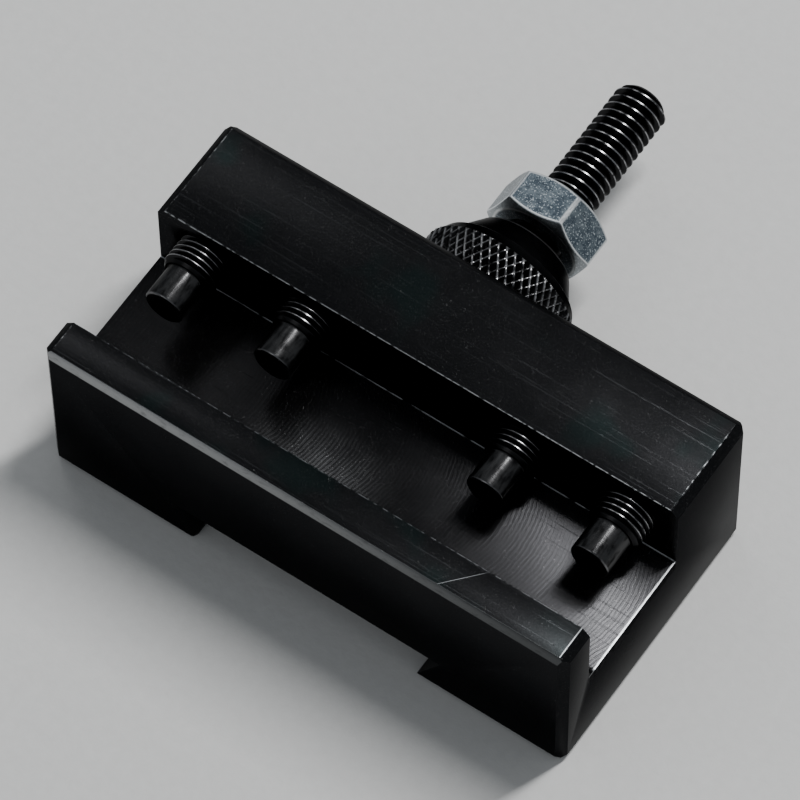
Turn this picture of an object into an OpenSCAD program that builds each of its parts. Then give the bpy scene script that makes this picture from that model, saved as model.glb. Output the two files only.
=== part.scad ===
// Quick change tool holder: dovetail block with a tool slot, four dog-point set
// screws and a height stud carrying a knurled thumb wheel and a hex jam nut.
// X runs along the tool slot, Y along the height stud, Z up out of the slot.

/* [Body] */
// length of the holder along the tool slot
body_l = 61.5; // [55:0.5:70]
// width of the holder across the slot, without the stud
body_w = 32; // [30:0.5:38]
// height of the holder from the dovetail face to the rail tops
body_h = 21.4; // [20:0.1:25]
// thickness of the thin front rail
front_rail = 4.3; // [3.5:0.1:6]
// thickness of the thick back rail that holds the screws
back_rail = 12.4; // [11:0.1:14]
// height of the slot floor above the dovetail face
floor_z = 11.9; // [11.6:0.1:13]
// small chamfer on the outer edges
edge_chamfer = 0.9; // [0.3:0.1:1.2]
// height of the chamfer on the front rail's outer top edge
rail_chamfer = 0.9; // [0.5:0.1:1.5]
// width of that chamfer across the rail's top
rail_ease = 0.4; // [0.3:0.1:1.5]
// radius in the slot's front corner, at the foot of the front rail
corner_r = 1.2; // [0.6:0.1:1.6]

/* [Dovetail] */
// width of the dovetail socket at its deep face
dovetail_w = 32.6; // [30:0.1:34]
// depth of the dovetail socket
dovetail_d = 5.6; // [4.5:0.1:5.8]
// angle of the dovetail flanks from the face
dovetail_angle = 60; // [45:1:75]
// flat on the dovetail's sharp lips
lip_flat = 0.7; // [0.3:0.1:1]

/* [Set screws] */
// distance of the inner screws from the middle
inner_x = 12.64; // [11:0.1:14]
// distance of the outer screws from the middle
outer_x = 25.2; // [24:0.1:26.5]
// height of the screw axes above the dovetail face
screw_z = 17; // [15.5:0.1:17.6]
// thread diameter of the set screws
screw_d = 6; // [5:1:6]
// diameter of the dog point
dog_d = 4.4; // [3.5:0.1:4.8]
// length of the dog point
dog_l = 3.8; // [3:0.1:4.5]
// overall length of a set screw
screw_l = 16; // [14:1:18]
// hexagon socket size across flats
socket_af = 3; // [2.5:0.5:3]
// depth of the hexagon socket
socket_d = 3.5; // [2.5:0.1:4]

/* [Height stud] */
// sideways place of the stud from the middle
stud_x = -1.6; // [-3:0.1:3]
// height of the stud axis above the dovetail face
stud_z = 9.4; // [9.2:0.1:10]
// thread diameter of the stud
stud_d = 6; // [5:1:6]
// reach of the stud beyond the back face
stud_out = 31.3; // [28:0.1:36]
// depth of the stud in the body
stud_in = 10; // [8:0.1:11]
// chamfer on the stud's ends
stud_chamfer = 0.7; // [0.4:0.1:1]

/* [Thumb wheel] */
// diameter over the knurl
wheel_d = 17.6; // [15:0.1:18]
// width of the knurled band
wheel_w = 4.5; // [3.5:0.1:6]
// gap between the body and the wheel
wheel_gap = 0.6; // [0.5:0.1:2]
// width of the smooth shoulder beyond the knurl
shoulder_w = 1; // [0.5:0.1:1.5]
// diameter of the shoulder at its far side
shoulder_d = 15.8; // [14:0.1:17]
// diameter of the cone where it leaves the shoulder
cone_d = 15; // [12:0.1:15.4]
// diameter of the cone at its far end
hub_d = 11; // [10:0.1:12]
// length of the cone
hub_l = 3.3; // [2:0.1:4]
// chamfer on the knurl's inner edge
rim_chamfer = 0.4; // [0.2:0.1:0.8]

/* [Jam nut] */
// width of the nut across its flats
nut_af = 10.7; // [9:0.1:12]
// height of the nut
nut_h = 4.8; // [4:0.1:5.5]
// gap between the hub and the nut
nut_gap = 1.6; // [1:0.1:3.4]
// turn of the nut's corners about the stud
nut_turn = 4; // [0:0.5:60]

/* [Fits] */
// radial clearance of a thread that turns
run_gap = 0.04; // [0.02:0.01:0.08]

/* [Hidden] */
overlap = 0.01;
half_l = body_l / 2;
half_w = body_w / 2;
slot_front = front_rail - half_w;
slot_back = half_w - back_rail;
screw_r = screw_d / 2;
stud_r = stud_d / 2;
lip_half = dovetail_w / 2 - dovetail_d / tan(dovetail_angle);
lip_step = lip_flat / tan(dovetail_angle);
wheel_y = half_w + wheel_gap;
shoulder_y = wheel_y + wheel_w;
hub_y = shoulder_y + shoulder_w;
nut_y = hub_y + hub_l + nut_gap;
nut_corner_r = nut_af / 2 / cos(30);
tip_1 = -3.5;
tip_2 = -2.8;
tip_3 = -2.9;
tip_4 = -3.5;
black_oxide = [0.09, 0.1, 0.1];
screw_black = [0.14, 0.14, 0.14];
zinc = [0.7, 0.74, 0.78];

// section across the slot, drawn in Y and Z
module rail_section() {
  polygon(concat(
    [
      [-half_w + edge_chamfer, 0],
      [half_w - edge_chamfer, 0],
      [half_w, edge_chamfer],
      [half_w, body_h - edge_chamfer],
      [half_w - edge_chamfer, body_h],
      [slot_back, body_h],
      [slot_back, floor_z]
    ],
    [for (a = [270:-18:180])
      [slot_front + corner_r + corner_r * cos(a), floor_z + corner_r + corner_r * sin(a)]],
    [
      [slot_front, body_h],
      [-half_w + rail_ease, body_h],
      [-half_w, body_h - rail_chamfer],
      [-half_w, edge_chamfer]
    ]
  ));
}

// outline of the block seen along the stud, drawn in X and Z
module end_outline() {
  polygon([
    [-half_l + edge_chamfer, 0],
    [half_l - edge_chamfer, 0],
    [half_l, edge_chamfer],
    [half_l, body_h - edge_chamfer],
    [half_l - edge_chamfer, body_h],
    [-half_l + edge_chamfer, body_h],
    [-half_l, body_h - edge_chamfer],
    [-half_l, edge_chamfer]
  ]);
}

// outline of the block from above, drawn in X and Y
module plan_outline() {
  polygon([
    [-half_l + edge_chamfer, -half_w],
    [half_l - edge_chamfer, -half_w],
    [half_l, -half_w + edge_chamfer],
    [half_l, half_w - edge_chamfer],
    [half_l - edge_chamfer, half_w],
    [-half_l + edge_chamfer, half_w],
    [-half_l, half_w - edge_chamfer],
    [-half_l, -half_w + edge_chamfer]
  ]);
}

// dovetail socket with blunted lips, drawn in X and Z
module dovetail_outline() {
  polygon([
    [-lip_half - lip_step, -1],
    [lip_half + lip_step, -1],
    [lip_half + lip_step, lip_flat],
    [dovetail_w / 2, dovetail_d],
    [-dovetail_w / 2, dovetail_d],
    [-lip_half - lip_step, lip_flat]
  ]);
}

// a round bar along Y from y0 to y1, centred on x and z
module bar(x, z, y0, y1, r) {
  translate([x, y0, z])
    rotate([-90, 0, 0])
      cylinder(h = y1 - y0, r = r, $fn = 64);
}

// a plain cone along Y from y0 to y1
module taper(x, z, y0, y1, r0, r1) {
  translate([x, y0, z])
    rotate([-90, 0, 0])
      cylinder(h = y1 - y0, r1 = r0, r2 = r1, $fn = 64);
}

// a six-sided bar along Y with its corners turned by an angle
module hex_bar(x, z, y0, y1, r, turn) {
  translate([x, y0, z])
    rotate([-90, 0, 0])
      rotate([0, 0, -turn])
        cylinder(h = y1 - y0, r = r, $fn = 6);
}

module holder_body() {
  color(black_oxide)
    difference() {
      intersection() {
        rotate([90, 0, 90])
          linear_extrude(height = body_l, center = true)
            rail_section();
        rotate([90, 0, 0])
          linear_extrude(height = body_w, center = true)
            end_outline();
        linear_extrude(height = body_h)
          plan_outline();
      }
      rotate([90, 0, 0])
        linear_extrude(height = body_w + 2, center = true)
          dovetail_outline();
      for (x = [-outer_x, -inner_x, inner_x, outer_x])
        bar(x, screw_z, slot_back - 1, half_w + 1, screw_r + run_gap);
      bar(stud_x, stud_z, half_w - stud_in, half_w + 1, stud_r);
    }
}

// one dog-point set screw with its tip at tip_y
module set_screw(x, tip_y) {
  color(screw_black)
    difference() {
      union() {
        taper(x, screw_z, tip_y, tip_y + 0.3, dog_d / 2 - 0.3, dog_d / 2);
        bar(x, screw_z, tip_y + 0.3 - overlap, tip_y + dog_l + overlap, dog_d / 2);
        taper(x, screw_z, tip_y + dog_l, tip_y + dog_l + 0.5, screw_r - 0.5, screw_r);
        bar(x, screw_z, tip_y + dog_l + 0.5 - overlap, tip_y + screw_l - 0.4, screw_r);
        taper(x, screw_z, tip_y + screw_l - 0.4 - overlap, tip_y + screw_l, screw_r, screw_r - 0.4);
      }
      hex_bar(x, screw_z, tip_y + screw_l - socket_d, tip_y + screw_l + 1,
        socket_af / 2 / cos(30), 0);
    }
}

module height_stud() {
  tip_y = half_w + stud_out;
  root_y = half_w - stud_in;
  color(screw_black)
    union() {
      taper(stud_x, stud_z, root_y, root_y + stud_chamfer, stud_r - stud_chamfer, stud_r);
      bar(stud_x, stud_z, root_y + stud_chamfer - overlap, tip_y - stud_chamfer + overlap, stud_r);
      taper(stud_x, stud_z, tip_y - stud_chamfer, tip_y, stud_r, stud_r - stud_chamfer);
    }
}

module thumb_wheel() {
  rim_r = wheel_d / 2;
  color(black_oxide)
    difference() {
      union() {
        taper(stud_x, stud_z, wheel_y, wheel_y + rim_chamfer, rim_r - rim_chamfer, rim_r);
        bar(stud_x, stud_z, wheel_y + rim_chamfer - overlap, shoulder_y + overlap, rim_r);
        taper(stud_x, stud_z, shoulder_y, hub_y, rim_r, shoulder_d / 2);
        taper(stud_x, stud_z, hub_y - overlap, hub_y + hub_l - 0.2, cone_d / 2, hub_d / 2);
        taper(stud_x, stud_z, hub_y + hub_l - 0.2, hub_y + hub_l, hub_d / 2, hub_d / 2 - 0.3);
      }
      bar(stud_x, stud_z, wheel_y - 1, hub_y + hub_l + 1, stud_r + run_gap);
    }
}

module jam_nut() {
  far_y = nut_y + nut_h;
  round_r = nut_corner_r + 0.11;
  face_r = nut_corner_r - 1.1;
  color(zinc)
    difference() {
      intersection() {
        hex_bar(stud_x, stud_z, nut_y, far_y, nut_corner_r, nut_turn);
        union() {
          taper(stud_x, stud_z, nut_y, nut_y + 0.7, face_r, round_r);
          bar(stud_x, stud_z, nut_y + 0.7 - overlap, far_y - 0.7 + overlap, round_r);
          taper(stud_x, stud_z, far_y - 0.7, far_y, round_r, face_r);
        }
      }
      bar(stud_x, stud_z, nut_y - 1, far_y + 1, stud_r + run_gap);
    }
}

holder_body();
set_screw(-outer_x, tip_1);  // set_screw_1
set_screw(-inner_x, tip_2);  // set_screw_2
set_screw(inner_x, tip_3);  // set_screw_3
set_screw(outer_x, tip_4);  // set_screw_4
height_stud();
thumb_wheel();
jam_nut();
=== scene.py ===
import math
import bmesh
import bpy
from mathutils import Euler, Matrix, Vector


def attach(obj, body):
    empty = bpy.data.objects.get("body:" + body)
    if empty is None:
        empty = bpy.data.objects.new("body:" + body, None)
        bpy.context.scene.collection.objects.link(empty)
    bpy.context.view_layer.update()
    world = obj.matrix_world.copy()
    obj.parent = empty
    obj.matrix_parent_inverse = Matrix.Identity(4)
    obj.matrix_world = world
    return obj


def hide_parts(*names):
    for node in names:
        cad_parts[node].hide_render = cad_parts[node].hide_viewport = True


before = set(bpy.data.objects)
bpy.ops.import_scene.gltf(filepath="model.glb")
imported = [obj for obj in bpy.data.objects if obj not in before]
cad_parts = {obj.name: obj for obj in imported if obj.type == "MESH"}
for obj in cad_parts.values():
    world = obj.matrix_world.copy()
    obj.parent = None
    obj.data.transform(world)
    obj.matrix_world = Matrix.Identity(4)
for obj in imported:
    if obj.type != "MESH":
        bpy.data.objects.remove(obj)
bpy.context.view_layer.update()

# ---------------------------------------------------------------- camera, floor and lights
# A long lens looks down on the holder from the front right, as it lies on a pale
# bench top. Three soft boxes and a dim room light it.
MM = 0.001

view_camera = bpy.data.cameras.new("bench_camera")
view_camera.lens = 306.14
view_camera.sensor_width = 36.0
view_camera.clip_end = 20.0
camera = bpy.data.objects.new("bench_camera", view_camera)
camera.location = (0.18748, -0.26484, 0.59738)
camera.rotation_euler = Euler([math.radians(a) for a in (29.2721, 0.427, 34.4263)], "XYZ")
bpy.context.scene.collection.objects.link(camera)
bpy.context.scene.camera = camera


class Socket:
    """One shader value, with sums written as ordinary Python."""

    tree = None

    def __init__(self, link):
        self.link = link

    @classmethod
    def node(cls, kind, settings=None, values=None, out=0):
        made = cls.tree.nodes.new(kind)
        for name, value in (settings or {}).items():
            if name == "stops":
                ramp = made.color_ramp
                while len(ramp.elements) < len(value):
                    ramp.elements.new(0.5)
                for stop, (place, colour) in zip(ramp.elements, value):
                    stop.position = place
                    stop.color = colour
            else:
                setattr(made, name, value)
        for name, value in (values or {}).items():
            if isinstance(value, Socket):
                cls.tree.links.new(value.link, made.inputs[name])
            else:
                made.inputs[name].default_value = value
        return cls(made.outputs[out])

    def sum_with(self, operation, other, swapped=False):
        pair = (other, self) if swapped else (self, other)
        return Socket.node("ShaderNodeMath", {"operation": operation}, {0: pair[0], 1: pair[1]})

    def __add__(self, other):
        return self.sum_with("ADD", other)

    def __sub__(self, other):
        return self.sum_with("SUBTRACT", other)

    def __mul__(self, other):
        return self.sum_with("MULTIPLY", other)

    def __truediv__(self, other):
        return self.sum_with("DIVIDE", other)

    def __rsub__(self, other):
        return self.sum_with("SUBTRACT", other, True)

    __radd__ = __add__
    __rmul__ = __mul__

    def work(self, operation, *others):
        values = {0: self}
        values.update({place + 1: other for place, other in enumerate(others)})
        return Socket.node("ShaderNodeMath", {"operation": operation}, values)

    def step(self, low, high):
        """0 below low, 1 above high, and smooth between."""
        return Socket.node("ShaderNodeMapRange", {"interpolation_type": "SMOOTHSTEP"},
                           {"Value": self, "From Min": low, "From Max": high})

    def near(self, place, reach):
        """1 at a place, fading to 0 over a reach."""
        return 1 - (self - place).work("ABSOLUTE").step(0.0, reach)


def start_finish(name):
    """A new material, with its nodes ready for Socket to add to."""
    material = bpy.data.materials.new(name)
    material.use_nodes = True
    Socket.tree = material.node_tree
    return material


def close_finish(material, colour, roughness, normal=None, metallic=None, edge=1.0):
    """Feeds the maps of a finish to its shader. A low edge keeps blacked steel black
    where it is seen at a slant."""
    shader = material.node_tree.nodes["Principled BSDF"]
    links = material.node_tree.links
    for name, value in (("Base Color", colour), ("Roughness", roughness),
                        ("Normal", normal), ("Metallic", metallic)):
        if isinstance(value, Socket):
            links.new(value.link, shader.inputs[name])
        elif value is not None:
            shader.inputs[name].default_value = value
    shader.inputs["Specular Tint"].default_value = (edge, edge, edge, 1)
    return material


def place_axes():
    """Object coordinates in millimetres, as a vector and as three numbers."""
    raw = Socket.node("ShaderNodeTexCoord", out=3)
    place = Socket.node("ShaderNodeVectorMath", {"operation": "SCALE"}, {0: raw, "Scale": 1000.0})
    parts = Socket.tree.nodes.new("ShaderNodeSeparateXYZ")
    Socket.tree.links.new(place.link, parts.inputs[0])
    return place, Socket(parts.outputs[0]), Socket(parts.outputs[1]), Socket(parts.outputs[2])


def noise(place, scale, detail=2.0, stretch=None, turn=0.0):
    """Noise over a place, with its grain stretched along an axis where asked."""
    if stretch:
        place = Socket.node("ShaderNodeMapping", {}, {"Vector": place, "Scale": stretch,
                                                      "Rotation": (0.0, 0.0, turn)})
    return Socket.node("ShaderNodeTexNoise", {}, {"Vector": place, "Scale": scale,
                                                  "Detail": detail, "Roughness": 0.6})


def blend(mask, first, second):
    """A colour that goes from the first to the second as the mask goes from 0 to 1."""
    made = Socket.tree.nodes.new("ShaderNodeMix")
    made.data_type = "RGBA"
    for place, value in ((0, mask), (6, first), (7, second)):
        if isinstance(value, Socket):
            Socket.tree.links.new(value.link, made.inputs[place])
        else:
            made.inputs[place].default_value = value
    return Socket(made.outputs[2])


def bump(height, distance, strength=1.0, normal=None):
    values = {"Height": height, "Distance": distance, "Strength": strength}
    if normal is not None:
        values["Normal"] = normal
    return Socket.node("ShaderNodeBump", {}, values)


def bench_top():
    """A pale matt board under the holder."""
    mesh = bpy.data.meshes.new("bench_top")
    half = 1.5
    corners = [(-half, -half, 0), (half, -half, 0), (half, half, 0), (-half, half, 0)]
    mesh.from_pydata(corners, [], [(0, 1, 2, 3)])
    board = bpy.data.objects.new("bench_top", mesh)
    bpy.context.scene.collection.objects.link(board)
    finish = start_finish("pale_board")
    place = place_axes()[0]
    grain = noise(place, 0.8, 3.0)
    close_finish(finish, blend(grain, (0.60, 0.60, 0.59, 1), (0.68, 0.68, 0.67, 1)), 0.7,
                 bump(grain, 0.00004))
    mesh.materials.append(finish)


bench_top()


def soft_box(name, place, size, watts, target=(0.0, 0.006, 0.012)):
    """One square soft light aimed at the holder."""
    lamp = bpy.data.lights.new(name, "AREA")
    lamp.shape = "RECTANGLE"
    lamp.size, lamp.size_y = size
    lamp.energy = watts
    made = bpy.data.objects.new(name, lamp)
    made.location = place
    aim = Vector(target) - Vector(place)
    made.rotation_euler = aim.to_track_quat("-Z", "Y").to_euler()
    bpy.context.scene.collection.objects.link(made)


# the narrow box draws the bright lines along the threads and points
soft_box("narrow_box", (0.150, 0.346, 0.780), (0.07, 0.45), 7.0)
soft_box("left_box", (-0.46, 0.32, 0.63), (0.24, 0.24), 0.30)
soft_box("front_box", (-0.26, -0.75, 0.36), (0.30, 0.30), 0.30)

room = bpy.data.worlds.new("dim_room")
room.use_nodes = True
room.node_tree.nodes["Background"].inputs[0].default_value = (0.9, 0.95, 1.0, 1)
room.node_tree.nodes["Background"].inputs[1].default_value = 0.32
bpy.context.scene.world = room

# ---------------------------------------------------------------- holder body
# A steel block, milled and blacked with hot oxide. It is cut from one bar, so the
# slot, the dovetail and the screw holes are all in the same piece.
HALF_L = 30.75
TOP_Z = 21.4
FLOOR_Z = 11.9
RAIL_Y = -11.7
WALL_Y = 3.6
END_CHAMFER = 0.9
CUTTER_R = 14.0
ARC_RATE = 15.0
RAIL_SLOPE_Y, RAIL_SLOPE_Z, RAIL_SLOPE_REACH = 0.914, 0.406, 22.88


def link_piece(name, mesh):
    made = bpy.data.objects.new(name, mesh)
    bpy.context.scene.collection.objects.link(made)
    return made


def shade(mesh, angle=35.0):
    """Smooth faces, with edges sharper than an angle kept crisp."""
    for face in mesh.polygons:
        face.use_smooth = True
    mesh.set_sharp_from_angle(angle=math.radians(angle))


def flatten(obj):
    """The object's finished mesh in place of its modifiers."""
    depsgraph = bpy.context.evaluated_depsgraph_get()
    done = bpy.data.meshes.new_from_object(obj.evaluated_get(depsgraph))
    obj.modifiers.clear()
    old = obj.data
    obj.data = done
    bpy.data.meshes.remove(old)


def eased_copy(node, name, width, angle):
    """A CAD solid's surface with its sharp edges lightly broken."""
    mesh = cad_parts[node].data.copy()
    mesh.materials.clear()
    work = bmesh.new()
    work.from_mesh(mesh)
    bmesh.ops.remove_doubles(work, verts=work.verts, dist=2e-6)
    bmesh.ops.dissolve_limit(work, angle_limit=math.radians(1.0), verts=work.verts, edges=work.edges)
    bmesh.ops.recalc_face_normals(work, faces=work.faces)
    work.to_mesh(mesh)
    work.free()
    made = link_piece(name, mesh)
    ease = made.modifiers.new("broken_edges", "BEVEL")
    ease.width = width
    ease.segments = 2
    ease.limit_method = "ANGLE"
    ease.angle_limit = math.radians(angle)
    ease.use_clamp_overlap = True
    flatten(made)
    shade(made.data, 40.0)
    return made


def black_block_finish():
    """Hot oxide over milled steel, worn bright where edges rub, with painted sheen on the slot floor, a
    painted highlight at the front rail's right end and painted shading along the rail's chamfer.
    """
    finish = start_finish("black_block")
    place, x, y, z = place_axes()
    cloud = noise(place, 0.12, 3.0)
    teal = noise(place, 0.10, 2.0).step(0.52, 0.66)
    grain = noise(place, 7.0, 3.0)
    speck = noise(place, 9.0, 2.0).step(0.675, 0.735)
    drag = noise(place, 0.9, 4.0, (0.07, 5.0, 1.0), 0.03).step(0.58, 0.72)

    top = z.step(TOP_Z - 0.08, TOP_Z - 0.02)
    in_slot = y.step(RAIL_Y - 0.02, RAIL_Y + 0.02) * (1 - y.step(WALL_Y - 0.02, WALL_Y + 0.02))
    floor = in_slot * (1 - z.step(FLOOR_Z + 0.05, FLOOR_Z + 0.15)) * z.step(FLOOR_Z - 1.5, FLOOR_Z - 1.4)
    base = blend(cloud, (0.010, 0.0102, 0.011, 1), (0.018, 0.0185, 0.0195, 1))
    base = blend(grain.step(0.40, 0.66) * 0.5, base, (0.030, 0.030, 0.032, 1))
    base = blend(teal * top * 0.45, base, (0.010, 0.024, 0.023, 1))

    # arcs left on the slot floor by the face of the cutter
    across = y - (RAIL_Y + WALL_Y) / 2
    bow = (CUTTER_R ** 2 - across * across).work("SQRT")
    wander = noise(place, 0.35, 3.0)
    sweep = (x - bow + wander * 0.7) * ARC_RATE
    arcs = sweep.work("SINE") * 0.30 + (sweep * 2.37).work("SINE") * 0.20 + 0.5
    fine = noise(place, 3.6, 4.0, (1.8, 0.22, 1.0), 0.25)
    # painted sheen: brighter patches on the cutter arcs, near the middle of the floor and towards its
    # right end, stand in for reflected light
    painted_floor_sheen = x.near(-4.5, 9.5) * y.near(-8.2, 7.0) * floor
    painted_floor_sheen = painted_floor_sheen * (wander.step(0.30, 0.70) * 0.5 + 0.5)
    painted_end_sheen = x.step(22.0, 30.6) * floor * (1 - y.step(-3.0, 1.0))

    # bare steel where the edges rub
    ragged = noise(place, 1.6, 4.0)
    # the rail's chamfer is whatever stands out past its slope
    rail_edge = z * RAIL_SLOPE_Z - y * RAIL_SLOPE_Y
    rail_edge = rail_edge.step(RAIL_SLOPE_REACH, RAIL_SLOPE_REACH + 0.05)
    rub = noise(place, 2.2, 3.0, (0.35, 1.0, 1.0)).step(0.22, 0.50)
    bare_rail = rail_edge * (rub * 0.4 + 0.6)
    # painted highlight: the front rail's top is made lighter towards its right end, where light falls
    painted_rail_end_highlight = x.step(22.0, 30.2) * (y * -1.0).step(11.0, 11.8) * top
    end_rim = x.near(HALF_L - END_CHAMFER, 0.14) * top * (y * -1.0).step(11.0, 11.8)
    wall_line = y.near(WALL_Y + 0.02, 0.13) * z.near(TOP_Z, 0.16) * ragged.step(0.38, 0.54)
    root_line = y.near(WALL_Y, 0.16) * z.near(FLOOR_Z, 0.18) * noise(place, 0.5, 2.0).step(0.34, 0.48)
    end_line = x.work("ABSOLUTE").near(HALF_L - END_CHAMFER, 0.14) * z.step(TOP_Z - 0.14, TOP_Z - 0.05)
    end_line = end_line * ragged.step(0.46, 0.62)
    rail_line = y.near(RAIL_Y, 0.14) * z.near(TOP_Z, 0.14) * ragged.step(0.42, 0.6)
    floor_end = x.near(HALF_L, 0.25) * z.near(FLOOR_Z, 0.16) * floor
    worn = (wall_line * 0.6).work("MAXIMUM", root_line)
    worn = worn.work("MAXIMUM", end_line * 0.35).work("MAXIMUM", rail_line * 0.35)
    worn = worn.work("MAXIMUM", end_rim * 0.6).work("MAXIMUM", floor_end * 0.5)

    # one long scratch across the thin rail's top, near its right end
    lean = y - x * 1.12
    scratch = lean.near(-33.2, 0.07) * x.step(15.3, 15.7) * (1 - x.step(18.6, 19.3)) * top
    scratch = scratch * (1 - y.step(-11.7, -11.6))
    worn = worn.work("MAXIMUM", scratch * 0.4)

    # bare steel on the rail's chamfer; its colour also carries painted shading, lighter at the left end
    # and darker towards the right
    rail_wear_and_painted_fade = blend(x.step(-26.0, 30.0), (0.30, 0.305, 0.31, 1), (0.075, 0.078, 0.08, 1))
    colour = blend(floor * 0.8, base, (0.0085, 0.0085, 0.009, 1))
    # painted sheen on the floor's arcs
    colour = blend(painted_floor_sheen * arcs * 0.9, colour, (0.20, 0.20, 0.205, 1))
    colour = blend(painted_end_sheen * arcs * 0.4, colour, (0.05, 0.05, 0.052, 1))
    colour = blend(drag * top * 0.5, colour, (0.055, 0.057, 0.06, 1))
    colour = blend(speck * (floor * 0.4 + 0.4), colour, (0.40, 0.40, 0.41, 1))
    # painted highlight on the front rail's top near its right end
    colour = blend(painted_rail_end_highlight * 0.3, colour, (0.050, 0.058, 0.060, 1))
    colour = blend(worn, colour, (0.62, 0.64, 0.66, 1))
    colour = blend(bare_rail, colour, rail_wear_and_painted_fade)

    rough = cloud * 0.10 + 0.19
    rough = rough + (1 - top) * (1 - floor) * 0.05 + worn * 0.15 + fine * floor * 0.03
    height = noise(place, 2.6, 4.0) * (0.30 - floor * 0.15) + drag * 0.25 + speck * 0.5 + grain * 0.15
    height = height + arcs * floor * 0.25 + fine * floor * 0.18
    return close_finish(finish, colour, rough, bump(height, 0.00002, 0.8), 1.0, 0.45)


block = eased_copy("holder_body", "holder_block", 0.00012, 28.0)
block.data.materials.append(black_block_finish())
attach(block, "holder")
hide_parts("holder_body")

# ---------------------------------------------------------------- height stud
# A black threaded stud, screwed into the block's back face and locked there. Both
# ends are chamfered flat. Its thread is cut as one long helix.
STUD_X = -1.6
STUD_Z = 9.4
PITCH = 1.0
THREAD_DEPTH = 0.58
CREST_R = 2.98
STUD_ROOT_R = 2.45
STUD_CHAMFER = 0.75


def thread_tree():
    """A node tree that winds one V thread, with its ends run out to a chamfer."""
    tree = bpy.data.node_groups.new("wound_thread", "GeometryNodeTree")
    face = tree.interface
    face.new_socket("Geometry", in_out="INPUT", socket_type="NodeSocketGeometry")
    for name in ("Pitch", "Crest radius", "Depth", "Start", "Length", "Lead chamfer", "Tail chamfer"):
        face.new_socket(name, in_out="INPUT", socket_type="NodeSocketFloat")
    for name in ("Sides", "Rows"):
        face.new_socket(name, in_out="INPUT", socket_type="NodeSocketInt")
    face.new_socket("Finish", in_out="INPUT", socket_type="NodeSocketMaterial")
    face.new_socket("Geometry", in_out="OUTPUT", socket_type="NodeSocketGeometry")
    nodes, links = tree.nodes, tree.links
    given = nodes.new("NodeGroupInput")
    ends = nodes.new("NodeGroupOutput")

    def maths(operation, *values):
        made = nodes.new("ShaderNodeMath")
        made.operation = operation
        for place, value in enumerate(values):
            if isinstance(value, (int, float)):
                made.inputs[place].default_value = value
            else:
                links.new(value, made.inputs[place])
        return made.outputs[0]

    sheet = nodes.new("GeometryNodeMeshGrid")
    sheet.inputs["Size X"].default_value = 1.0
    sheet.inputs["Size Y"].default_value = 1.0
    links.new(maths("ADD", given.outputs["Sides"], 1), sheet.inputs["Vertices X"])
    links.new(maths("ADD", given.outputs["Rows"], 1), sheet.inputs["Vertices Y"])
    spot = nodes.new("GeometryNodeInputPosition")
    split = nodes.new("ShaderNodeSeparateXYZ")
    links.new(spot.outputs[0], split.inputs[0])
    round_part = maths("ADD", split.outputs[0], 0.5)
    along_part = maths("ADD", split.outputs[1], 0.5)
    pitch = given.outputs["Pitch"]
    # rows follow the helix, so each crest runs along one line of vertices
    whole = maths("ADD", given.outputs["Length"], maths("MULTIPLY", pitch, 2.0))
    lead = maths("MULTIPLY", round_part, pitch)
    travel = maths("SUBTRACT", maths("ADD", maths("MULTIPLY", along_part, whole), lead),
                   maths("MULTIPLY", pitch, 1.5))
    kept = maths("MINIMUM", maths("MAXIMUM", travel, 0.0), given.outputs["Length"])
    turns = maths("FRACT", maths("ADD", maths("DIVIDE", maths("SUBTRACT", travel, lead), pitch), 100.0))
    slope = maths("ABSOLUTE", maths("SUBTRACT", maths("MULTIPLY", turns, 2.0), 1.0))
    flank = maths("MULTIPLY", maths("SUBTRACT", slope, 0.14), 1.25)
    valley = maths("MINIMUM", maths("MAXIMUM", flank, 0.0), 1.0)
    crest = given.outputs["Crest radius"]
    cut = maths("SUBTRACT", crest, maths("MULTIPLY", valley, given.outputs["Depth"]))
    lead_end = maths("ADD", maths("SUBTRACT", crest, given.outputs["Lead chamfer"]), kept)
    left = maths("SUBTRACT", given.outputs["Length"], kept)
    tail_end = maths("ADD", maths("SUBTRACT", crest, given.outputs["Tail chamfer"]), left)
    radius = maths("MINIMUM", maths("MINIMUM", cut, lead_end), tail_end)
    angle = maths("MULTIPLY", round_part, math.tau)
    joined = nodes.new("ShaderNodeCombineXYZ")
    links.new(maths("MULTIPLY", maths("COSINE", angle), radius), joined.inputs[0])
    links.new(maths("ADD", kept, given.outputs["Start"]), joined.inputs[1])
    links.new(maths("MULTIPLY", maths("MULTIPLY", maths("SINE", angle), -1.0), radius), joined.inputs[2])
    move = nodes.new("GeometryNodeSetPosition")
    links.new(sheet.outputs[0], move.inputs["Geometry"])
    links.new(joined.outputs[0], move.inputs["Position"])
    weld = nodes.new("GeometryNodeMergeByDistance")
    weld.inputs["Distance"].default_value = 0.002
    links.new(move.outputs[0], weld.inputs["Geometry"])
    real = nodes.new("GeometryNodeRealizeInstances")
    links.new(weld.outputs[0], real.inputs[0])
    coat = nodes.new("GeometryNodeSetMaterial")
    links.new(real.outputs[0], coat.inputs["Geometry"])
    links.new(given.outputs["Finish"], coat.inputs["Material"])
    links.new(coat.outputs[0], ends.inputs[0])
    return tree


def run_tree(tree, name, given):
    """The mesh that a node tree makes, in millimetres."""
    made = link_piece(name, bpy.data.meshes.new(name))
    step = made.modifiers.new("made", "NODES")
    step.node_group = tree
    for item in tree.interface.items_tree:
        if item.in_out == "INPUT" and item.name in given:
            step[item.identifier] = given[item.name]
    flatten(made)
    mesh = made.data
    bpy.data.objects.remove(made)
    return mesh


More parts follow.
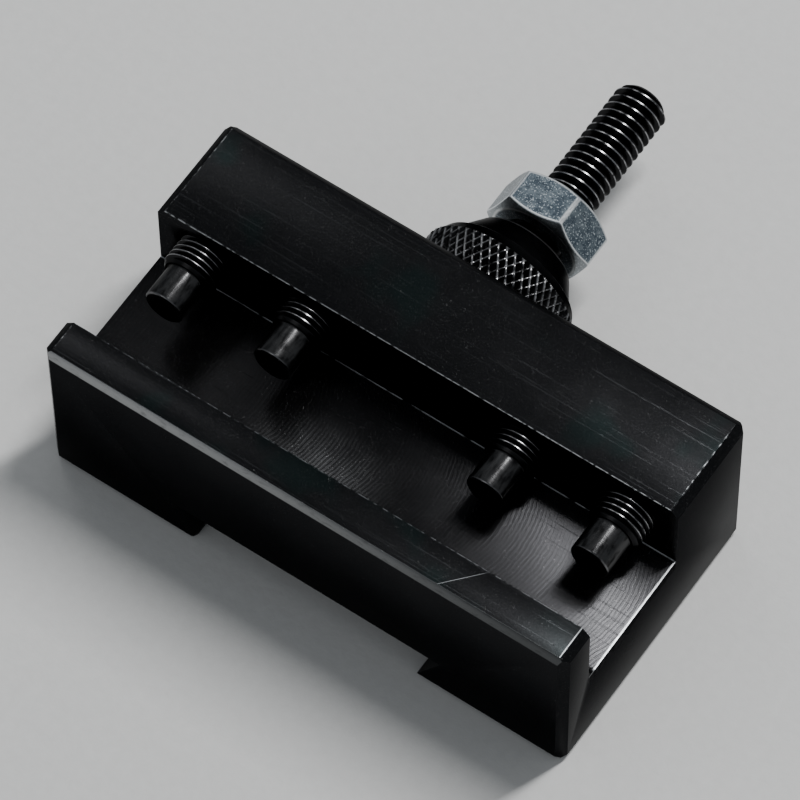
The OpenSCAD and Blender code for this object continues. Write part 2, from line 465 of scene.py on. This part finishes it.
def turned(sides, rings):
    """Vertices and faces of a turned form, from rings of (radius, distance along).
    A radius or distance may be a function of the angle."""
    points, faces, rows = [], [], []
    for radius, along in rings:
        if radius == 0:
            rows.append([len(points)] * sides)
            points.append((0.0, along, 0.0))
            continue
        rows.append(list(range(len(points), len(points) + sides)))
        for place in range(sides):
            angle = math.tau * place / sides
            reach = radius(angle) if callable(radius) else radius
            depth = along(angle) if callable(along) else along
            points.append((reach * math.cos(angle), depth, -reach * math.sin(angle)))
    for first, second in zip(rows, rows[1:]):
        for place in range(sides):
            after = (place + 1) % sides
            corners = []
            for corner in (first[place], first[after], second[after], second[place]):
                if corner not in corners:
                    corners.append(corner)
            if len(corners) > 2:
                faces.append(corners)
    return points, faces


def assemble(name, parts, centre, finish, angle=35.0):
    """One closed mesh from turned forms and tree meshes that share their end rings."""
    work = bmesh.new()
    for part in parts:
        if isinstance(part, bpy.types.Mesh):
            work.from_mesh(part)
        else:
            piece = bpy.data.meshes.new("part")
            piece.from_pydata(part[0], [], part[1])
            work.from_mesh(piece)
            bpy.data.meshes.remove(piece)
    bmesh.ops.remove_doubles(work, verts=work.verts, dist=0.003)
    bmesh.ops.dissolve_degenerate(work, dist=0.0005, edges=work.edges)
    bmesh.ops.recalc_face_normals(work, faces=work.faces)
    for vert in work.verts:
        vert.co = Vector((vert.co.x + centre[0], vert.co.y, vert.co.z + centre[1])) * MM
    mesh = bpy.data.meshes.new(name)
    work.to_mesh(mesh)
    open_edges = sum(1 for edge in work.edges if not edge.is_manifold)
    work.free()
    print(name, "triangles about", 2 * len(mesh.polygons), "open edges", open_edges)
    mesh.materials.clear()
    mesh.materials.append(finish)
    for face in mesh.polygons:
        face.material_index = 0
    shade(mesh, angle)
    return link_piece(name, mesh)


def black_thread_finish(name, x0, z0, crest, root, tip=None):
    """Blacked steel, rubbed bare on its crests and on the rim of its point."""
    finish = start_finish(name)
    place, x, y, z = place_axes()
    out = ((x - x0) * (x - x0) + (z - z0) * (z - z0)).work("SQRT")
    cloud = noise(place, 0.5, 3.0)
    rub = out.step(crest - 0.05, crest - 0.01) * noise(place, 1.2, 3.0).step(0.30, 0.56)
    deep = 1 - out.step(root, crest - 0.1)
    turning = noise(place, 3.0, 3.0, (0.3, 4.0, 0.3))
    colour = blend(cloud, (0.014, 0.014, 0.015, 1), (0.028, 0.028, 0.029, 1))
    if tip is not None:
        rim = y.near(tip + 0.10, 0.13) * out.step(DOG_R - 0.30, DOG_R - 0.16)
        rub = rub.work("MAXIMUM", rim * noise(place, 0.8, 2.0).step(0.30, 0.5))
        point = 1 - out.step(DOG_R + 0.01, DOG_R + 0.05)
        polish = noise(place, 1.0, 4.0, (2.0, 0.6, 2.0)).step(0.3, 0.6)
        colour = blend(point * polish, colour, (0.12, 0.12, 0.122, 1))
    colour = blend(rub * 0.8, colour, (0.36, 0.36, 0.37, 1))
    # darker towards the thread roots
    colour = blend(deep * 0.5, colour, (0.006, 0.006, 0.006, 1))
    rough = cloud * 0.10 + turning * 0.14 + 0.12
    height = turning * 0.7 + noise(place, 1.5, 3.0, (2.0, 0.25, 2.0)) * 0.6
    return close_finish(finish, colour, rough, bump(height, 0.000012, 0.8), 1.0, 0.5)


stud_sides = 64
stud_start, stud_length = 6.0, 41.3
stud_finish = black_thread_finish("black_stud", STUD_X, STUD_Z, CREST_R, STUD_ROOT_R)
wound = thread_tree()
stud_thread = run_tree(wound, "stud_thread", {
    "Pitch": PITCH, "Crest radius": CREST_R, "Depth": THREAD_DEPTH, "Start": stud_start,
    "Length": stud_length, "Lead chamfer": STUD_CHAMFER, "Tail chamfer": STUD_CHAMFER,
    "Sides": stud_sides, "Rows": 693, "Finish": stud_finish})
stud_end_r = CREST_R - STUD_CHAMFER
stud_tip = stud_start + stud_length
stud_ends = [
    turned(stud_sides, [(stud_end_r, stud_start), (0, stud_start)]),
    turned(stud_sides, [(stud_end_r, stud_tip), (1.2, stud_tip), (0, stud_tip)]),
]
stud = assemble("height_stud_threaded", [stud_thread] + stud_ends, (STUD_X, STUD_Z), stud_finish)
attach(stud, "holder")
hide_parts("height_stud")

# ---------------------------------------------------------------- set screws
# Four blacked set screws with turned dog points and hexagon sockets. Each is wound
# through the back rail until its point stands in the slot.
SCREW_SIDES = 48
SCREW_Z = 17.0
SCREW_LENGTH = 16.0
DOG_R = 2.2
DOG_L = 3.8
SOCKET_AF = 3.0
SOCKET_DEPTH = 3.5
SCREW_PITCH = 0.66
SCREW_DEPTH = 0.40
SCREW_ROOT_R = 2.6
SCREW_LEAD = 0.45
SCREW_TAIL = 0.5


def hexagon(across, turn=0.0):
    """The reach of a hexagon's outline at each angle."""
    def reach(angle):
        local = (angle - turn) % math.radians(60) - math.radians(30)
        return across / 2 / math.cos(local)
    return reach


def set_screw(name, body, node, x, tip):
    finish = black_thread_finish(name + "_black", x, SCREW_Z, CREST_R, SCREW_ROOT_R, tip)
    shoulder = tip + DOG_L
    back = tip + SCREW_LENGTH
    thread = run_tree(wound, name + "_thread", {
        "Pitch": SCREW_PITCH, "Crest radius": CREST_R, "Depth": SCREW_DEPTH,
        "Start": shoulder + 0.05, "Length": back - shoulder - 0.05,
        "Lead chamfer": SCREW_LEAD, "Tail chamfer": SCREW_TAIL,
        "Sides": SCREW_SIDES, "Rows": 328, "Finish": finish})
    point = turned(SCREW_SIDES, [
        (0, tip), (DOG_R - 0.22, tip), (DOG_R - 0.17, tip + 0.01), (DOG_R - 0.02, tip + 0.14),
        (DOG_R, tip + 0.19), (DOG_R, shoulder - 0.12), (DOG_R + 0.03, shoulder),
        (DOG_R + 0.08, shoulder + 0.05), (CREST_R - SCREW_LEAD, shoulder + 0.05)])
    hex_reach = hexagon(SOCKET_AF)
    socket = turned(SCREW_SIDES, [
        (CREST_R - SCREW_TAIL, back), (1.9, back), (lambda a: hex_reach(a) + 0.08, back),
        (hex_reach, back - 0.12), (hex_reach, back - SOCKET_DEPTH),
        (1.0, back - 3.9), (0, back - 4.2)])
    made = assemble(name, [thread, point, socket], (x, SCREW_Z), finish, 32.0)
    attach(made, body)
    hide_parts(node)


set_screw("dog_screw_1", "screw_1", "set_screw_1", -25.2, -3.5)
set_screw("dog_screw_2", "screw_2", "set_screw_2", -12.64, -2.8)
set_screw("dog_screw_3", "screw_3", "set_screw_3", 12.64, -2.9)
set_screw("dog_screw_4", "screw_4", "set_screw_4", 25.2, -3.5)

# ---------------------------------------------------------------- thumb wheel
# A turned steel wheel with a diamond knurl rolled into its rim, and a smooth cone on
# its outer side. It is threaded on the stud and sets the holder's height.
WHEEL_NEAR = 16.6
WHEEL_FAR = 21.1
WHEEL_R = 8.8
KNURL_COUNT = 54
KNURL_SIDES = KNURL_COUNT * 14
KNURL_DEPTH = 0.52
KNURL_LEAN = 0.62
RIM_CHAMFER = 0.35


def knurl_tree():
    """A node tree that raises crossed ridges, with diamonds between, round a band."""
    tree = bpy.data.node_groups.new("rolled_knurl", "GeometryNodeTree")
    face = tree.interface
    for name in ("Radius", "Depth", "Start", "Width", "Count", "Lean", "Chamfer"):
        face.new_socket(name, in_out="INPUT", socket_type="NodeSocketFloat")
    for name in ("Sides", "Rows"):
        face.new_socket(name, in_out="INPUT", socket_type="NodeSocketInt")
    face.new_socket("Finish", in_out="INPUT", socket_type="NodeSocketMaterial")
    face.new_socket("Geometry", in_out="OUTPUT", socket_type="NodeSocketGeometry")
    nodes, links = tree.nodes, tree.links
    given = nodes.new("NodeGroupInput")
    ends = nodes.new("NodeGroupOutput")

    def maths(operation, *values):
        made = nodes.new("ShaderNodeMath")
        made.operation = operation
        for place, value in enumerate(values):
            if isinstance(value, (int, float)):
                made.inputs[place].default_value = value
            else:
                links.new(value, made.inputs[place])
        return made.outputs[0]

    def ridge(value):
        part = maths("FRACT", maths("ADD", value, 200.0))
        return maths("ABSOLUTE", maths("SUBTRACT", maths("MULTIPLY", part, 2.0), 1.0))

    sheet = nodes.new("GeometryNodeMeshGrid")
    sheet.inputs["Size X"].default_value = 1.0
    sheet.inputs["Size Y"].default_value = 1.0
    links.new(maths("ADD", given.outputs["Sides"], 1), sheet.inputs["Vertices X"])
    links.new(maths("ADD", given.outputs["Rows"], 1), sheet.inputs["Vertices Y"])
    spot = nodes.new("GeometryNodeInputPosition")
    split = nodes.new("ShaderNodeSeparateXYZ")
    links.new(spot.outputs[0], split.inputs[0])
    round_part = maths("ADD", split.outputs[0], 0.5)
    along = maths("MULTIPLY", maths("ADD", split.outputs[1], 0.5), given.outputs["Width"])
    count = maths("MULTIPLY", round_part, given.outputs["Count"])
    lean = maths("MULTIPLY", along, given.outputs["Lean"])
    raised = maths("MAXIMUM", ridge(maths("ADD", count, lean)),
                   maths("SUBTRACT", ridge(maths("SUBTRACT", count, lean)), 0.14))
    cut = maths("SUBTRACT", given.outputs["Radius"],
                maths("MULTIPLY", maths("SUBTRACT", 1.0, raised), given.outputs["Depth"]))
    other = maths("SUBTRACT", given.outputs["Width"], along)
    edge = maths("ADD", maths("MINIMUM", along, other),
                 maths("SUBTRACT", given.outputs["Radius"], given.outputs["Chamfer"]))
    radius = maths("MINIMUM", cut, edge)
    angle = maths("MULTIPLY", round_part, math.tau)
    joined = nodes.new("ShaderNodeCombineXYZ")
    links.new(maths("MULTIPLY", maths("COSINE", angle), radius), joined.inputs[0])
    links.new(maths("ADD", along, given.outputs["Start"]), joined.inputs[1])
    links.new(maths("MULTIPLY", maths("MULTIPLY", maths("SINE", angle), -1.0), radius), joined.inputs[2])
    move = nodes.new("GeometryNodeSetPosition")
    links.new(sheet.outputs[0], move.inputs["Geometry"])
    links.new(joined.outputs[0], move.inputs["Position"])
    weld = nodes.new("GeometryNodeMergeByDistance")
    weld.inputs["Distance"].default_value = 0.002
    links.new(move.outputs[0], weld.inputs["Geometry"])
    real = nodes.new("GeometryNodeRealizeInstances")
    links.new(weld.outputs[0], real.inputs[0])
    coat = nodes.new("GeometryNodeSetMaterial")
    links.new(real.outputs[0], coat.inputs["Geometry"])
    links.new(given.outputs["Finish"], coat.inputs["Material"])
    links.new(coat.outputs[0], ends.inputs[0])
    return tree


def black_wheel_finish():
    """Blacked steel, with the diamond tips rubbed a little brighter and painted highlights on the rims of
    its shoulder and cone.
    """
    finish = start_finish("black_wheel")
    place, x, y, z = place_axes()
    out = ((x - STUD_X) * (x - STUD_X) + (z - STUD_Z) * (z - STUD_Z)).work("SQRT")
    cloud = noise(place, 0.5, 3.0)
    tips = out.step(WHEEL_R - 0.20, WHEEL_R - 0.06) * noise(place, 0.7, 3.0).step(0.36, 0.58)
    # painted highlights: thin bright rings on the rims of the cone and the shoulder
    cone_rim = y.near(25.16, 0.12) * out.step(5.2, 5.4)
    shoulder_rim = y.near(22.08, 0.10) * out.step(7.3, 7.5) * noise(place, 0.25, 2.0).step(0.42, 0.6)
    turning = noise(place, 2.5, 3.0, (0.3, 4.0, 0.3))
    tip_wear_and_rim_highlight = (tips * 0.8).work("MAXIMUM", cone_rim).work("MAXIMUM", shoulder_rim * 0.6)
    colour = blend(cloud, (0.008, 0.008, 0.0085, 1), (0.018, 0.018, 0.019, 1))
    colour = blend(tip_wear_and_rim_highlight, colour, (0.40, 0.40, 0.41, 1))
    rough = cloud * 0.12 + turning * 0.10 + 0.20
    return close_finish(finish, colour, rough, bump(turning * 0.5 + cloud * 0.5, 0.00001, 0.6), 1.0, 0.35)


wheel_finish = black_wheel_finish()
knurl_band = run_tree(knurl_tree(), "knurl_band", {
    "Radius": WHEEL_R, "Depth": KNURL_DEPTH, "Start": WHEEL_NEAR,
    "Width": WHEEL_FAR - WHEEL_NEAR, "Count": float(KNURL_COUNT), "Lean": KNURL_LEAN,
    "Chamfer": RIM_CHAMFER,
    "Sides": KNURL_SIDES, "Rows": 45, "Finish": wheel_finish})
rim = WHEEL_R - RIM_CHAMFER
wheel_turned = turned(KNURL_SIDES, [
    (rim, WHEEL_FAR), (8.0, 22.02), (7.9, 22.1), (7.5, 22.1), (7.44, 22.2), (5.56, 25.12),
    (5.46, 25.22), (5.30, 25.36), (5.2, 25.4), (3.4, 25.4), (3.04, 25.05), (3.04, 17.0),
    (3.4, 16.6), (7.2, WHEEL_NEAR), (rim, WHEEL_NEAR)])
wheel = assemble("knurled_thumb_wheel", [knurl_band, wheel_turned], (STUD_X, STUD_Z), wheel_finish, 24.0)
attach(wheel, "wheel")
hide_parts("thumb_wheel")

# ---------------------------------------------------------------- jam nut
# A cold-formed hexagon nut, chamfered on both faces and plated with bright zinc. It
# locks the thumb wheel on the stud.
NUT_SIDES = 144
NUT_NEAR = 27.0
NUT_FAR = 31.8
NUT_AF = 10.7
NUT_FACE_R = 5.1
NUT_CHAMFER_SLOPE = 0.577
nut_turn = math.radians(-4.0)


def zinc_finish():
    """Zinc plate with a bluish cast, dulled and pitted in small spots, with painted glints and painted
    highlights on its chamfer rims and corners.
    """
    finish = start_finish("bright_zinc")
    place, x, y, z = place_axes()
    blotch = noise(place, 0.9, 4.0)
    spots = noise(place, 3.8, 4.0)
    pits = (1 - spots).step(0.50, 0.62)
    # painted glints: small bright spots over the faces
    glints = noise(place, 5.2, 2.0).step(0.56, 0.66)
    out = ((x - STUD_X) * (x - STUD_X) + (z - STUD_Z) * (z - STUD_Z)).work("SQRT")
    # painted highlights along the near and far chamfer rims and on the corners
    rim_near = (y - (out - NUT_FACE_R) * NUT_CHAMFER_SLOPE).near(NUT_NEAR + 0.13, 0.17)
    rim_far = (y + (out - NUT_FACE_R) * NUT_CHAMFER_SLOPE).near(NUT_FAR - 0.11, 0.15)
    corner = out.step(6.00, 6.10)
    bright = rim_near.work("MAXIMUM", rim_far * 0.7).work("MAXIMUM", corner * 0.8)
    colour = blend(blotch.step(0.35, 0.65), (0.075, 0.10, 0.125, 1), (0.165, 0.20, 0.225, 1))
    colour = blend(pits * 0.65, colour, (0.045, 0.065, 0.085, 1))
    # painted glints
    colour = blend(glints * 0.75, colour, (0.62, 0.68, 0.72, 1))
    # painted highlights on the rims and corners
    colour = blend(bright * 0.9, colour, (0.90, 0.93, 0.94, 1))
    rough = blotch * 0.15 + spots * 0.20 + 0.16
    height = spots * 0.8 + blotch * 0.3
    return close_finish(finish, colour, rough, bump(height, 0.00004, 0.9), 1.0)


nut_finish = zinc_finish()
flat = hexagon(NUT_AF, nut_turn)


def near_rim(angle):
    """Where the near chamfer meets the flats and corners."""
    return NUT_NEAR + max(0.0, flat(angle) - NUT_FACE_R) * NUT_CHAMFER_SLOPE


def far_rim(angle):
    return NUT_FAR - max(0.0, flat(angle) - NUT_FACE_R) * NUT_CHAMFER_SLOPE


nut_turned = turned(NUT_SIDES, [
    (3.03, NUT_FAR - 0.4), (3.45, NUT_FAR), (NUT_FACE_R - 0.12, NUT_FAR),
    (NUT_FACE_R, NUT_FAR - 0.02),
    (lambda a: flat(a) - 0.07, lambda a: far_rim(a) + 0.02), (flat, lambda a: far_rim(a) - 0.08),
    (flat, lambda a: near_rim(a) + 0.08), (lambda a: flat(a) - 0.07, lambda a: near_rim(a) - 0.02),
    (NUT_FACE_R, NUT_NEAR + 0.02), (NUT_FACE_R - 0.12, NUT_NEAR), (3.45, NUT_NEAR),
    (3.03, NUT_NEAR + 0.4),
    (3.03, NUT_FAR - 0.4)])
nut = assemble("hex_jam_nut", [nut_turned], (STUD_X, STUD_Z), nut_finish, 22.0)
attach(nut, "nut")
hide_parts("jam_nut")
